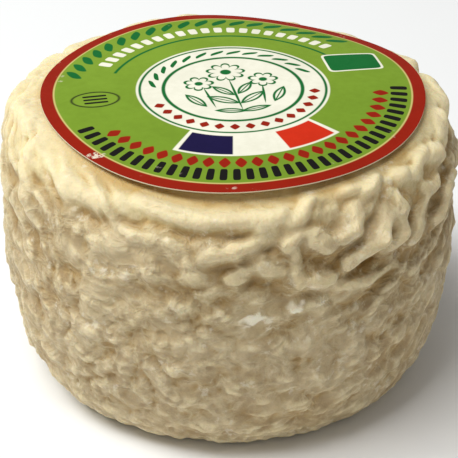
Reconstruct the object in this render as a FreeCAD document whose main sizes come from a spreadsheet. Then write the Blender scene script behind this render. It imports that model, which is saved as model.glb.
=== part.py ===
import FreeCAD, Part

# A small drum of goat's cheese with a wrinkled bloomy rind and a round paper label on top.
#
# Millimetres, +Z up.  The origin is the middle of the flat foot on which the cheese stands.
# The cheese is one solid whose skin is a smooth closed band: it leaves the flat foot, swells
# to the belly, rolls over the rim and runs in under the label.  The label is a thin sheet
# that sags and lifts with the rim below it.

import math
import os
import random

DOC_NAME = "crottin"
doc = FreeCAD.newDocument(DOC_NAME)

# --- Driving sizes -----------------------------------------------------------------------
SIZES = [
    ("belly_width", 65.8, "cheese across at its widest"),
    ("cheese_height", 42.3, "cheese from the foot to the rim, folds left out"),
    ("belly_height", 25.5, "height of the widest place"),
    ("foot_width", 48.0, "flat on which the cheese stands"),
    ("plateau_width", 44.0, "flat part of the top"),
    ("foot_fullness", 2.4, "exponent of the curve from the foot to the belly"),
    ("rim_fullness", 3.7, "exponent of the curve from the belly to the top"),
    ("crown_width", 9.0, "plane patch that closes the skin under the label"),
    ("wrinkle_pitch", 5.0, "from one scattered wrinkle to the next"),
    ("wrinkle_lift", 0.34, "height of the scattered wrinkles near the rim"),
    ("low_wrinkle_share", 0.85, "what is left of that height on the lower side"),
    ("wrinkle_sweep", 16.0, "how much the wrinkles climb from the front to each side"),
    ("fold_share", 1.0, "scales the lift of every main fold"),
    ("foot_fade", 5.0, "height over which the wrinkles grow from the foot"),
    ("label_width", 55.0, "paper label across"),
    ("label_thickness", 0.25, "paper"),
    ("label_shift", 0.7, "label off the middle of the cheese, towards +X"),
    ("label_rise", 0.9, "middle of the label above the rim height"),
    ("label_droop", 1.1, "edge of the label below its middle, waves left out"),
    ("seat_gap", 0.15, "air between the paper and the rind under it"),
    ("front_gap", 1.1, "gap that shows under the front edge of the label"),
    ("wave_once", 0.25, "label edge: a tilt that goes once round"),
    ("wave_twice", 0.62, "label edge: the wave that goes twice round"),
    ("wave_thrice", 0.17, "label edge: the wave that goes three times round"),
    ("wave_fourfold", 0.36, "label edge: the wave that goes four times round"),
]

sheet = doc.addObject("Spreadsheet::Sheet", "sizes")
for row, (alias, value, note) in enumerate(SIZES, start=1):
    sheet.set(f"A{row}", note)
    sheet.set(f"B{row}", str(value))
    sheet.setAlias(f"B{row}", alias)
doc.recompute()

BELLY_R = sheet.belly_width / 2
FOOT_R = sheet.foot_width / 2
PLATEAU_R = sheet.plateau_width / 2
CROWN_R = sheet.crown_width / 2
LABEL_R = sheet.label_width / 2
RIM_Z = sheet.cheese_height
BELLY_Z = sheet.belly_height

# --- Resolution of the skin --------------------------------------------------------------
POLES_ROUND = 176
POLES_UP = 58
MERIDIAN_STEPS = 400
DEGREE = 3
MIDDLE_TOLERANCE = 0.05

# --- Main folds of the rind --------------------------------------------------------------
# Each fold is a soft roll with a crevice along its lower side.  Its two ends are given as
# an angle round the cheese (degrees, -90 is the front) and a depth below the rim; then its
# width, its lift and how far its middle bows down.
FOLDS = [
    (-114, 1.0, -76, 2.3, 3.6, 1.35, 0.5),     # lip that rolls out under the label's front
    (-84, 1.0, -73, 1.5, 2.2, 0.70, 0.1),
    (-68, 1.0, -76, 6.3, 3.0, 1.15, 0.3),      # roll that runs down from the lip's end
    (-95, 7.4, -88, 6.7, 2.4, 0.65, 0.1),
    (-88, 6.3, -79, 4.8, 2.6, 1.00, -0.2),
    (-68, 0.8, -57, 0.8, 3.0, 0.90, -0.3),     # lip again, hooked under the label's right
    (-57, 1.2, -47, 1.2, 3.0, 1.10, 0.8),
    (-61, 10.4, -52, 8.4, 3.4, 1.45, 0.2),     # the fullest roll, forked, right of the front
    (-52, 8.4, -48, 5.2, 2.5, 0.85, 0.0),
    (-50, 10.1, -44, 9.1, 3.0, 1.25, 0.3),
    (-44, 9.1, -46, 6.8, 2.5, 0.95, 0.0),
    (-44, 4.0, -43, 6.8, 3.0, 0.95, 0.2),
    (-34, 7.6, -41, 11.2, 2.9, 0.95, 0.3),
    (-17, 8.0, -28, 11.4, 3.1, 0.95, 0.4),
    (-40, 2.2, -33, 3.4, 3.0, 0.85, 0.3),
    (-30, 2.0, -21, 3.8, 3.2, 0.90, -0.4),
    (-34, 5.6, -26, 6.6, 2.8, 0.70, 0.2),
    (-89, 10.1, -86, 9.8, 2.6, 0.75, 0.1),     # lumps below the lip
    (-100, 10.8, -97, 10.5, 2.6, 0.50, 0.1),
    (-99, 8.8, -96, 8.5, 2.2, 0.45, 0.1),
    (-82, 9.2, -78, 9.9, 3.2, 0.60, 0.2),
    (-74, 8.4, -73, 11.8, 2.8, 0.75, 0.3),
    (-69, 6.0, -67, 7.2, 3.5, 1.00, 0.1),
    (-69, 12.2, -66, 12.0, 3.2, 0.85, 0.1),
    (-62, 6.6, -58, 6.0, 3.0, 0.75, 0.1),
    (-57, 3.2, -58, 5.4, 2.6, 0.55, 0.1),
    (-73, 15.4, -55, 14.7, 3.4, 0.65, 0.3),    # step down to the smoother lower rind
    (-64, 13.6, -46, 14.0, 2.2, 0.40, 0.3),
    (-136, 2.4, -119, 1.6, 4.6, 0.95, 0.5),    # broad soft lump at the left of the front
    (-154, 1.6, -148, 6.6, 3.4, 1.00, 0.3),    # roll that turns down the left side
    (-148, 8.0, -146, 8.6, 3.6, 0.75, 0.1),
    (-143, 9.0, -141, 9.6, 3.0, 0.55, 0.1),
    (-176, 1.4, -160, 1.2, 3.4, 0.90, -0.4),
    (-178, 4.6, -168, 7.2, 3.2, 0.75, 0.4),
    (-165, 8.6, -158, 10.4, 3.2, 0.60, 0.3),
    (168, 2.2, 178, 3.0, 3.6, 0.85, 0.3),      # round the back the rim folds on alike
    (150, 1.8, 161, 2.6, 3.8, 0.85, 0.3),
    (133, 2.4, 143, 1.6, 3.6, 0.80, 0.4),
    (112, 2.2, 126, 3.2, 3.8, 0.95, 0.4),
    (92, 3.4, 104, 1.6, 3.4, 0.80, 0.3),
    (70, 1.8, 84, 3.4, 3.8, 1.00, 0.6),
    (48, 3.0, 62, 1.6, 3.6, 0.90, -0.4),
    (26, 1.8, 39, 3.4, 3.6, 0.95, 0.5),
    (2, 2.8, 15, 1.4, 3.4, 0.85, 0.4),
    (-14, 3.0, -6, 1.6, 3.2, 0.80, 0.3),
    (-8, 8.0, 4, 9.4, 3.4, 0.85, 0.4),
    (16, 6.2, 24, 8.4, 3.0, 0.75, 0.3),
    (34, 9.2, 46, 7.6, 3.4, 0.85, -0.4),
    (54, 6.0, 60, 9.0, 3.0, 0.75, 0.3),
    (78, 9.4, 92, 8.2, 3.6, 0.85, 0.5),
    (98, 6.4, 108, 8.0, 3.2, 0.80, 0.4),
    (120, 8.4, 131, 10.2, 3.4, 0.80, 0.4),
    (142, 6.0, 152, 7.6, 3.2, 0.75, 0.4),
    (163, 9.6, 172, 8.0, 3.2, 0.70, 0.3),
]
ROLL_TIGHTNESS = 1.3       # how steeply a roll falls off to its sides
ROLL_REACH = 2.0           # a fold ends this many widths from its middle line
CREVICE_OFFSET = 0.62      # crevice from the middle of the roll, as a share of its width
CREVICE_WIDTH = 0.26       # likewise
CREVICE_START = 0.5        # likewise, where the crevice has its full depth
CREVICE_DEPTH = 0.5        # as a share of the roll's lift

# Furrows pressed into the smoother lower rind: angle, depth below the rim, length, depth.
FURROWS = [
    (-111, 15.0, 6.0, 0.65),
    (-109, 21.2, 3.6, 0.45),
    (-143, 3.4, 6.0, 0.55),
    (-125, 4.6, 9.0, 0.55),
    (-144, 11.6, 6.5, 0.50),
    (-84, 17.4, 5.0, 0.35),
    (-30, 18.0, 5.0, 0.35),
    (25, 15.5, 5.0, 0.40),
    (80, 18.5, 5.0, 0.40),
    (150, 16.0, 5.5, 0.45),
]
FURROW_HALF_WIDTH = 1.3

# Round the paper's edge the rind stays below the paper for this much further out.
PAPER_CLEARANCE = 1.2
UNDER_PAPER_HEIGHTS = (-7.0, -0.3)  # from the rim's height the rind bends to the paper here
QUIET_EDGE = (-0.6, 2.0)            # from the paper's edge outwards the folds grow here

# Scattered wrinkles: waves of one length that mostly lie along the rind, some across it.
WRINKLE_WAVES = 22
WRINKLE_SEED = 7
WRINKLE_SHARPNESS = 1.5
HEADING_SPREAD = 0.55               # radians either side of straight up
RIM_SHARE = 0.4                     # what is left of the wrinkles on the plump rim
RIM_DEPTHS = (1.5, 4.5)             # below the rim they grow to their height here
FADE_DEPTHS = (8.0, 22.0)           # and fall to their lower height here

# Waves of the label's edge: how often round, which size, angle of the crest in degrees.
EDGE_WAVES = [
    (1, sheet.wave_once, -167),
    (2, sheet.wave_twice, -5),
    (3, sheet.wave_thrice, -15),
    (4, sheet.wave_fourfold, 16),
]
FRONT_ANGLE = math.radians(-90)
FRONT_GAP_SPREAD = math.radians(34)
FRONT_GAP_START = 0.84     # share of the label's radius at which the gap opens

# Patch of paper from which the round label is cut.
PAPER_CELLS = 28
PAPER_MARGIN = 1.08
LID_FLATNESS = 1e-4


def ramp(value, start, end):
    """Rise smoothly from 0 at start to 1 at end."""
    share = min(max((value - start) / (end - start), 0.0), 1.0)
    return share * share * (3 - 2 * share)


def turn_between(angle, other):
    """Smallest turn from one angle to the other, in radians."""
    return (angle - other + math.pi) % (2 * math.pi) - math.pi


# --- Label surface -----------------------------------------------------------------------
def edge_wave(angle):
    return sum(size * math.cos(times * (angle - math.radians(crest)))
               for times, size, crest in EDGE_WAVES)


def label_underside(x, y):
    """Height of the paper's underside; beyond the edge it stays as at the edge."""
    x_off = x - sheet.label_shift
    share = min(math.hypot(x_off, y) / LABEL_R, 1.0)
    shape = edge_wave(math.atan2(y, x_off)) - sheet.label_droop
    return RIM_Z + sheet.label_rise + shape * share ** 4


def rind_under_label(x, y):
    """Height of the rind below the paper: close to it, but lower under the front edge."""
    x_off = x - sheet.label_shift
    share = min(math.hypot(x_off, y) / LABEL_R, 1.0)
    turn = turn_between(math.atan2(y, x_off), FRONT_ANGLE)
    front = math.exp(-(turn / FRONT_GAP_SPREAD) ** 2) * ramp(share, FRONT_GAP_START, 1.0)
    return label_underside(x, y) - sheet.seat_gap - sheet.front_gap * front


# --- Meridian: the outline of the cheese from the foot to the crown ------------------------
def quarter_curve(narrow, wide, rise, fullness, share):
    """Point on a quarter of a superellipse: share 0 is level, share 1 is upright."""
    quarter = share * math.pi / 2
    reach = narrow + (wide - narrow) * math.sin(quarter) ** (2 / fullness)
    drop = rise * (1 - math.cos(quarter) ** (2 / fullness))
    return reach, drop


def dense_meridian():
    points = []
    for step in range(MERIDIAN_STEPS + 1):
        reach, rise = quarter_curve(FOOT_R, BELLY_R, BELLY_Z, sheet.foot_fullness,
                                    step / MERIDIAN_STEPS)
        points.append((reach, rise))
    for step in range(MERIDIAN_STEPS - 1, -1, -1):
        reach, drop = quarter_curve(PLATEAU_R, BELLY_R, RIM_Z - BELLY_Z,
                                    sheet.rim_fullness, step / MERIDIAN_STEPS)
        points.append((reach, RIM_Z - drop))
    points.append((CROWN_R, RIM_Z))
    return points


MERIDIAN = dense_meridian()
TRAVEL = [0.0]
for (reach_a, z_a), (reach_b, z_b) in zip(MERIDIAN, MERIDIAN[1:]):
    TRAVEL.append(TRAVEL[-1] + math.hypot(reach_b - reach_a, z_b - z_a))


def meridian_at(travel):
    """Reach, height and outward direction at a distance along the outline."""
    low, high = 0, len(TRAVEL) - 1
    while high - low > 1:
        middle = (low + high) // 2
        if TRAVEL[middle] <= travel:
            low = middle
        else:
            high = middle
    (reach_a, z_a), (reach_b, z_b) = MERIDIAN[low], MERIDIAN[high]
    span = TRAVEL[high] - TRAVEL[low]
    share = min(max((travel - TRAVEL[low]) / span, 0.0), 1.0)
    out = FreeCAD.Vector(z_b - z_a, 0, reach_a - reach_b).normalize()
    return reach_a + share * (reach_b - reach_a), z_a + share * (z_b - z_a), out


def travel_at_depth(depth):
    """Distance along the outline to the place that lies this deep below the rim."""
    for travel, (_, z) in zip(TRAVEL, MERIDIAN):
        if z >= RIM_Z - depth:
            return travel
    return TRAVEL[-1]


# --- Relief of the rind ------------------------------------------------------------------
def wrinkle_waves():
    """Waves of one pitch; each goes a whole number of times round, so that it closes."""
    chance = random.Random(WRINKLE_SEED)
    tightness = 2 * math.pi / sheet.wrinkle_pitch
    waves = []
    for _ in range(WRINKLE_WAVES):
        heading = chance.gauss(math.pi / 2, HEADING_SPREAD)
        times_round = round(tightness * BELLY_R * math.cos(heading))
        upward = math.sqrt(max(tightness ** 2 - (times_round / BELLY_R) ** 2, 0.0))
        waves.append((times_round, upward, chance.uniform(0, 2 * math.pi)))
    return waves


WAVES = wrinkle_waves()


def scattered_wrinkles(angle, travel):
    swept = travel - sheet.wrinkle_sweep * math.sin(angle)
    total = sum(math.cos(times * angle + upward * swept + start)
                for times, upward, start in WAVES)
    return math.tanh(WRINKLE_SHARPNESS * total / math.sqrt(WRINKLE_WAVES / 2))


def laid_fold(fold):
    """A fold on the rind rolled out flat: where it starts, which way it runs, how far."""
    start_angle, start_depth, end_angle, end_depth, width, lift, bow = fold
    start_travel = travel_at_depth(start_depth)
    side = BELLY_R * math.radians(end_angle - start_angle)
    rise = travel_at_depth(end_depth) - start_travel
    length = math.hypot(side, rise)
    return (math.radians(start_angle), math.radians((start_angle + end_angle) / 2),
            start_travel, side / length, rise / length, length, width,
            lift * sheet.fold_share, bow)


def fold_relief(angle, travel, fold):
    """One roll with its crevice."""
    start, middle, start_travel, run_side, run_up, length, width, lift, bow = fold
    side = BELLY_R * (turn_between(angle, middle) + middle - start)
    up = travel - start_travel
    run = min(max(side * run_side + up * run_up, 0.0), length)
    sag = bow * 4 * (run / length) * (1 - run / length)
    off_side = side - run * run_side - sag * run_up
    off_up = up - run * run_up + sag * run_side
    distance = math.hypot(off_side, off_up)
    if distance > ROLL_REACH * width:
        return 0.0
    roll = math.exp(-ROLL_TIGHTNESS * (2 * distance / width) ** 2)
    below = ramp(off_side * run_up - off_up * run_side, 0.0, CREVICE_START * width)
    crevice_share = (distance - CREVICE_OFFSET * width) / (CREVICE_WIDTH * width)
    crevice = CREVICE_DEPTH * below * math.exp(-crevice_share ** 2)
    return lift * (roll - crevice)


def furrow_relief(angle, travel, furrow):
    centre, centre_travel, length, hollow = furrow
    side = BELLY_R * turn_between(angle, centre)
    up = travel - centre_travel
    return -hollow * math.exp(-(side / (length / 2)) ** 2 - (up / FURROW_HALF_WIDTH) ** 2)


LAID_FOLDS = [laid_fold(fold) for fold in FOLDS]
LAID_FURROWS = [(math.radians(centre), travel_at_depth(depth), length, hollow)
                for centre, depth, length, hollow in FURROWS]


def relief(angle, travel, z, label_distance):
    """How far the rind stands out of its plain outline."""
    depth = RIM_Z - z
    near_rim = 1 - ramp(depth, *FADE_DEPTHS)
    share = sheet.low_wrinkle_share + (1 - sheet.low_wrinkle_share) * near_rim
    share *= RIM_SHARE + (1 - RIM_SHARE) * ramp(depth, *RIM_DEPTHS)
    height = sheet.wrinkle_lift * share * scattered_wrinkles(angle, travel)
    height += sum(fold_relief(angle, travel, fold) for fold in LAID_FOLDS)
    height += sum(furrow_relief(angle, travel, furrow) for furrow in LAID_FURROWS)
    clear_of_foot = ramp(z, 0.0, sheet.foot_fade)
    clear_of_label = ramp(label_distance - LABEL_R, *QUIET_EDGE)
    return height * clear_of_foot * clear_of_label


def rind_point(angle, travel):
    reach, z, out = meridian_at(travel)
    around = FreeCAD.Vector(math.cos(angle), math.sin(angle), 0)
    plain = around * reach + FreeCAD.Vector(0, 0, z)
    label_distance = math.hypot(plain.x - sheet.label_shift, plain.y)
    wanted = rind_under_label(plain.x, plain.y)
    plain.z = z + (wanted - RIM_Z) * ramp(z - RIM_Z, *UNDER_PAPER_HEIGHTS)
    lift = relief(angle, travel, z, label_distance)
    point = plain + (around * out.x + FreeCAD.Vector(0, 0, out.z)) * lift
    if math.hypot(point.x - sheet.label_shift, point.y) < LABEL_R + PAPER_CLEARANCE:
        point.z = min(point.z, rind_under_label(point.x, point.y))
    return point


def rind_poles():
    """Poles of the skin: one column for each step round, from the foot to the crown."""
    columns = []
    for step_round in range(POLES_ROUND):
        angle = 2 * math.pi * step_round / POLES_ROUND
        column = []
        for step_up in range(POLES_UP):
            travel = TRAVEL[-1] * step_up / (POLES_UP - 1)
            column.append(rind_point(angle, travel))
        column[0].z = 0.0
        column[-1].z = RIM_Z + sheet.label_rise - sheet.seat_gap
        columns.append(column)
    return columns


def open_knots(poles):
    spans = poles - DEGREE
    return [DEGREE + 1] + [1] * (spans - 1) + [DEGREE + 1], list(range(spans + 1))


def cheese_shape():
    """The skin with its flat foot and its flat crown, as one solid."""
    up_mults, up_knots = open_knots(POLES_UP)
    skin = Part.BSplineSurface()
    skin.buildFromPolesMultsKnots(
        rind_poles(), [1] * (POLES_ROUND + 1), up_mults,
        list(range(POLES_ROUND + 1)), up_knots, True, False, DEGREE, DEGREE)
    band = skin.toShape()
    lids = []
    for edge in band.Edges:
        if edge.isClosed() and edge.BoundBox.ZLength < LID_FLATNESS:
            lids.append(Part.Face(Part.Wire([edge])))
    shell = Part.makeShell([band] + lids)
    shell.sewShape()
    solid = Part.makeSolid(shell)
    if solid.Volume < 0:
        solid.reverse()
    return solid


def paper_sheet_shape():
    """A waved sheet a little larger than the label, from which the disc is cut."""
    half = LABEL_R * PAPER_MARGIN
    columns = []
    for step_across in range(PAPER_CELLS + 1):
        x = sheet.label_shift + half * (2 * step_across / PAPER_CELLS - 1)
        column = []
        for step_deep in range(PAPER_CELLS + 1):
            y = half * (2 * step_deep / PAPER_CELLS - 1)
            column.append(FreeCAD.Vector(x, y, label_underside(x, y)))
        columns.append(column)
    mults, knots = open_knots(PAPER_CELLS + 1)
    underside = Part.BSplineSurface()
    underside.buildFromPolesMultsKnots(
        columns, mults, mults, knots, knots, False, False, DEGREE, DEGREE)
    return underside.toShape().extrude(FreeCAD.Vector(0, 0, sheet.label_thickness))


def note_middle(shape):
    """Enter in the sheet how far the folded outline has to move to stand over the origin."""
    corners, _ = shape.tessellate(MIDDLE_TOLERANCE)
    outline = {"centre_across": [corner.x for corner in corners],
               "centre_deep": [corner.y for corner in corners]}
    for row, (alias, reach) in enumerate(outline.items(), start=len(SIZES) + 1):
        sheet.set(f"A{row}", "worked out: brings the middle of the outline over the origin")
        sheet.set(f"B{row}", str(round(-(min(reach) + max(reach)) / 2, 3)))
        sheet.setAlias(f"B{row}", alias)
    doc.recompute()


def place_over_origin(item, across="0"):
    """Bind a finished shape's place to the sheet, so that the whole cheese stands centred."""
    item.Placement = FreeCAD.Placement()
    item.setExpression("Placement.Base.x", f"sizes.centre_across + {across}")
    item.setExpression("Placement.Base.y", "sizes.centre_deep")


# --- Cheese ------------------------------------------------------------------------------
cheese = doc.addObject("Part::Feature", "cheese")
cheese.Label = "cheese"
cheese.Shape = cheese_shape()
note_middle(cheese.Shape)
place_over_origin(cheese)

# --- Label -------------------------------------------------------------------------------
paper_sheet = doc.addObject("Part::Feature", "paper_sheet")
paper_sheet.Label = "paper_sheet"
paper_sheet.Shape = paper_sheet_shape()
place_over_origin(paper_sheet)

disc_cutter = doc.addObject("Part::Cylinder", "disc_cutter")
disc_cutter.Label = "disc_cutter"
disc_cutter.setExpression("Radius", "sizes.label_width / 2")
disc_cutter.setExpression("Height", "sizes.cheese_height * 2")
place_over_origin(disc_cutter, "sizes.label_shift")

label = doc.addObject("Part::Common", "label")
label.Label = "label"
label.Base = paper_sheet
label.Tool = disc_cutter

doc.recompute()

# --- Checks and export -------------------------------------------------------------------
for item in doc.Objects:
    for problem in ("Invalid", "Error"):
        if problem in item.State:
            raise RuntimeError(f"{item.Label} failed to recompute")

os.makedirs("parts", exist_ok=True)
for node in (cheese, label):
    if node.Shape.isNull() or not node.Shape.isValid():
        raise RuntimeError(f"{node.Label} has no valid shape")
    box = node.Shape.BoundBox
    print(f"{node.Label}: volume {node.Shape.Volume:.0f} mm3, "
          f"x {box.XMin:.2f}..{box.XMax:.2f}, y {box.YMin:.2f}..{box.YMax:.2f}, "
          f"z {box.ZMin:.2f}..{box.ZMax:.2f}, solids {len(node.Shape.Solids)}")
    node.Shape.exportStep(f"parts/{node.Label}.step")
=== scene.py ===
# %% [markdown]
# # A small drum of goat's cheese, and the paper label on it
#
# The cheese is a crottin: a drum of soft goat's cheese, about as wide as a mandarin, in a
# bloomy rind that has dried into soft rolls and fine wrinkles. One round paper label lies
# on top. The CAD model gives the true form: the foot, the belly, the rim, the main rolls
# and the sag of the paper. This lesson adds what CAD leaves out: the fine wrinkles, painted
# shade in the creases, the print of the label, and the light.
#
# The first step is to load the imported model. Every place and size below is read from it.

# %% Load the imported cheese
import math

import bpy
import numpy as np
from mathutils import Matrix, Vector
from mathutils.bvhtree import BVHTree


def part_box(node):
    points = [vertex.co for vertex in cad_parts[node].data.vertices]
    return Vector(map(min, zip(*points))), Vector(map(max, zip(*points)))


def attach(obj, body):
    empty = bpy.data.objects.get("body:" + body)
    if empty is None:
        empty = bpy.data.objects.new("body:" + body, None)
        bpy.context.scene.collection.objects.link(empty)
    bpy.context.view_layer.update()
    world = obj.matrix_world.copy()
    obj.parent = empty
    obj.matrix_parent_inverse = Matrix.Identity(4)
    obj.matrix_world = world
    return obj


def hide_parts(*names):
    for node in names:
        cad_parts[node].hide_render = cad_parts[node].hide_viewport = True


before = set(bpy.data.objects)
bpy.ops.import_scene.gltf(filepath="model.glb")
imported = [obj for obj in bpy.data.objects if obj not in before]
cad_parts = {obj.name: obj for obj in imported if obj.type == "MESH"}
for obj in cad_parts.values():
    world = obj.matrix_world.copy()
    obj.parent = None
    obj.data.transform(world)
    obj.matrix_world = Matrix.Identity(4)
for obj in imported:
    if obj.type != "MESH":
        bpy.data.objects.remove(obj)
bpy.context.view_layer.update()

MM = 0.001
cheese_low, cheese_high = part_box("cheese")
label_low, label_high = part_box("label")
label_middle = (label_low + label_high) / 2
label_radius = (label_high.x - label_low.x) / 2
print("cheese", [round(size / MM, 1) for size in cheese_high - cheese_low], "mm")
print("label", round(2 * label_radius / MM, 1), "mm across")

# %% [markdown]
# ## Where the eye stands
#
# The cheese is seen from a little above, from about a forearm's length. A long lens keeps
# the drum from looking bulbous. The camera could be placed by hand, but measuring its
# place from the label, and turning it to the middle of the drum, keeps the view right if
# the part changes.

# %% Camera
EYE_DISTANCE = 0.300
EYE_ELEVATION = math.radians(26.9)
AIM_HEIGHT = 21.4 * MM
LENS, SHIFT_SIDE, SHIFT_UP = 164.5, -0.0087, -0.0180


def placed(name, data):
    """Put a camera, lamp or mesh into the scene."""
    thing = bpy.data.objects.new(name, data)
    bpy.context.scene.collection.objects.link(thing)
    return thing


aim = Vector((label_middle.x, 0, AIM_HEIGHT))
label_spot = Vector((label_middle.x, 0, cheese_high.z))
from_label = Vector((0, -math.cos(EYE_ELEVATION), math.sin(EYE_ELEVATION)))
eye = label_spot + from_label * EYE_DISTANCE
camera_data = bpy.data.cameras.new("camera")
camera_data.sensor_width = 36
camera_data.lens = LENS
camera_data.shift_x = SHIFT_SIDE
camera_data.shift_y = SHIFT_UP
camera = placed("camera", camera_data)
camera.location = eye
camera.rotation_euler = (aim - eye).to_track_quat("-Z", "Y").to_euler()
bpy.context.scene.camera = camera
print("camera at", [round(place, 3) for place in camera.location])

# %% [markdown]
# ## Soft light and a pale table
#
# The folds only read if light comes across them. One soft lamp stands high on the left, a
# second hangs above and a little in front, and a pale world lights the rest. A sun lamp
# would be simpler, but its hard shadows would draw lines that a bloomy rind doesn't show.

# %% Lights and world
def soft_lamp(name, direction, distance, size, power, tint):
    """A square lamp that looks at the middle of the cheese."""
    lamp = bpy.data.lights.new(name, "AREA")
    lamp.size = size
    lamp.energy = power
    lamp.color = tint
    holder = placed(name, lamp)
    toward = Vector(direction).normalized()
    holder.location = aim + toward * distance
    holder.rotation_euler = (-toward).to_track_quat("-Z", "Y").to_euler()


soft_lamp("key_lamp", (-1.0, 0.05, 1.15), distance=0.70, size=0.30, power=3.0,
          tint=(0.93, 0.97, 1.0))
soft_lamp("top_lamp", (-0.38, -0.42, 1.50), distance=0.80, size=0.36, power=3.4,
          tint=(1.0, 0.99, 0.97))

WORLD_LIGHT = 0.28
world = bpy.data.worlds.new("pale_room")
world.use_nodes = True
world.node_tree.nodes["Background"].inputs["Color"].default_value = (1, 1, 1, 1)
world.node_tree.nodes["Background"].inputs["Strength"].default_value = WORLD_LIGHT
bpy.context.scene.world = world
bpy.context.scene.view_settings.view_transform = "Standard"

# %% [markdown]
# ## The wiring helper
#
# Shader trees get long in code, because each node has to be made, set and joined. This
# class does those three things in one call. The numbers that flow between nodes are
# wrapped too, so that a plus or a times between them makes the maths node, and a material
# reads like the recipe that it is. A tree built by hand in the editor is the other way.

# %% Shorthand for shader nodes
class Flow:
    """What comes out of a socket. Sums and products of it make maths nodes."""

    def __init__(self, wiring, socket):
        self.wiring, self.socket = wiring, socket

    def __abs__(self):
        return self.wiring.math("ABSOLUTE", self)


def join_with(sign, operation):
    """Let Flow take part in one kind of sum, on either side of its sign."""
    setattr(Flow, f"__{sign}__",
            lambda self, other: self.wiring.math(operation, self, other))
    setattr(Flow, f"__r{sign}__",
            lambda self, other: self.wiring.math(operation, other, self))


for sign, operation in {"add": "ADD", "sub": "SUBTRACT", "mul": "MULTIPLY",
                        "truediv": "DIVIDE", "pow": "POWER"}.items():
    join_with(sign, operation)


class Wiring:
    """Adds nodes to one tree. A socket is fed a number, a colour or a flow."""

    def __init__(self, tree):
        self.tree = tree

    def feed(self, socket, value):
        value = getattr(value, "socket", value)
        if isinstance(value, bpy.types.NodeSocket):
            self.tree.links.new(value, socket)
        else:
            socket.default_value = value

    def add(self, kind, inputs=None, **settings):
        node = self.tree.nodes.new(kind)
        for name, value in settings.items():
            setattr(node, name, value)
        for name, value in (inputs or {}).items():
            self.feed(node.inputs[name], value)
        return node

    def flow(self, node, output=0):
        return Flow(self, node.outputs[output])

    def in_order(self, node, values):
        """Feed a node's inputs in their own order."""
        for socket, value in zip(node.inputs, values):
            self.feed(socket, value)
        return self.flow(node)

    def math(self, operation, *values):
        return self.in_order(self.add("ShaderNodeMath", operation=operation), values)

    def ramp(self, value, start, end, low=0.0, high=1.0):
        """From low at start to high at end, smoothly, and flat outside."""
        node = self.add("ShaderNodeMapRange", interpolation_type="SMOOTHSTEP")
        return self.in_order(node, (value, start, end, low, high))

    def blend(self, share, first, second, how="MIX"):
        """Lay the second colour over the first; share 0 gives the first."""
        node = self.add("ShaderNodeMix", {"Factor": share}, data_type="RGBA", blend_type=how)
        colour_inputs = [socket for socket in node.inputs if socket.type == "RGBA"]
        self.feed(colour_inputs[0], first)
        self.feed(colour_inputs[1], second)
        return [socket for socket in node.outputs if socket.type == "RGBA"][0]

    def attribute(self, name):
        return self.flow(self.add("ShaderNodeAttribute", attribute_name=name), "Fac")

    def noise(self, place, scale, detail, roughness=0.5, distortion=0.0):
        """The value of a cloudy texture."""
        return self.flow(self.add("ShaderNodeTexNoise", {
            "Vector": place, "Scale": scale, "Detail": detail, "Roughness": roughness,
            "Distortion": distortion}))

    def group(self, tree, **inputs):
        return self.flow(self.add("ShaderNodeGroup", inputs, node_tree=tree))


print("wiring ready")

# %% [markdown]
# Colours are easiest to name by the numbers that a screen shows, but a shader wants
# linear light, so one helper turns the first into the second. Others open a node group or
# a material. A coat is a colour built up in layers, as moulds and inks build up.

# %% Colours, groups, materials and coats
def paint(red, green, blue):
    """A colour named by its screen values, 0 to 255, turned into linear light."""
    shares = [value / 255 for value in (red, green, blue)]
    return tuple(share / 12.92 if share <= 0.04045 else ((share + 0.055) / 1.055) ** 2.4
                 for share in shares) + (1.0,)


def new_group(name, inputs, outputs):
    """An empty node group: its wiring, what comes in, and what has to be fed to go out."""
    tree = bpy.data.node_groups.new(name, "ShaderNodeTree")
    for label, value in inputs.items():
        kind = "NodeSocketVector" if isinstance(value, tuple) else "NodeSocketFloat"
        tree.interface.new_socket(label, in_out="INPUT", socket_type=kind).default_value = value
    for label in outputs:
        tree.interface.new_socket(label, in_out="OUTPUT", socket_type="NodeSocketFloat")
    wiring = Wiring(tree)
    source = wiring.add("NodeGroupInput")
    return (wiring, {label: wiring.flow(source, label) for label in inputs},
            wiring.add("NodeGroupOutput").inputs)


def new_material(name):
    """A material with its surface shader, ready to be wired."""
    material = bpy.data.materials.new(name)
    material.use_nodes = True
    return material, Wiring(material.node_tree), material.node_tree.nodes["Principled BSDF"]


class Coat:
    """A colour built up in layers, each laid over the last one through a mask."""

    def __init__(self, wiring, colour):
        self.wiring, self.colour, self.layers = wiring, colour, 1

    def lay(self, mask, colour, how="MIX"):
        self.colour = self.wiring.blend(mask, self.colour, colour, how)
        self.layers += 1


CREAM = paint(238, 235, 216)
print("cream is", [round(part, 3) for part in CREAM])

# %% [markdown]
# ## The table
#
# The stage is a plain pale sheet, only there to catch the cheese's shadow. A large plane
# is enough, because nothing of its edge is ever seen.

# %% Table
table_material, _, table_shader = new_material("pale_table")
table_shader.inputs["Base Color"].default_value = (0.90, 0.90, 0.89, 1)
table_shader.inputs["Roughness"].default_value = 0.8
table_mesh = bpy.data.meshes.new("table")
table_mesh.from_pydata([(-3, -3, 0), (3, -3, 0), (3, 3, 0), (-3, 3, 0)], [], [(0, 1, 2, 3)])
table_mesh.materials.append(table_material)
table = placed("table", table_mesh)
print("table laid")

# %% [markdown]
# ## The skin of the cheese, as a grid of rays
#
# The rind needs thousands of small wrinkles, so it needs its own fine, even mesh. It could
# be a subdivided copy of the CAD mesh, but that mesh has uneven triangles. Instead rays
# are sent out from a ring inside the cheese, as from the core of a ring cake: each column
# of rays goes from the foot, out over the belly and the rim, and in under the label. What
# a ray measures is how far the skin lies from the ring there, which keeps the CAD's form.

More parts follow.
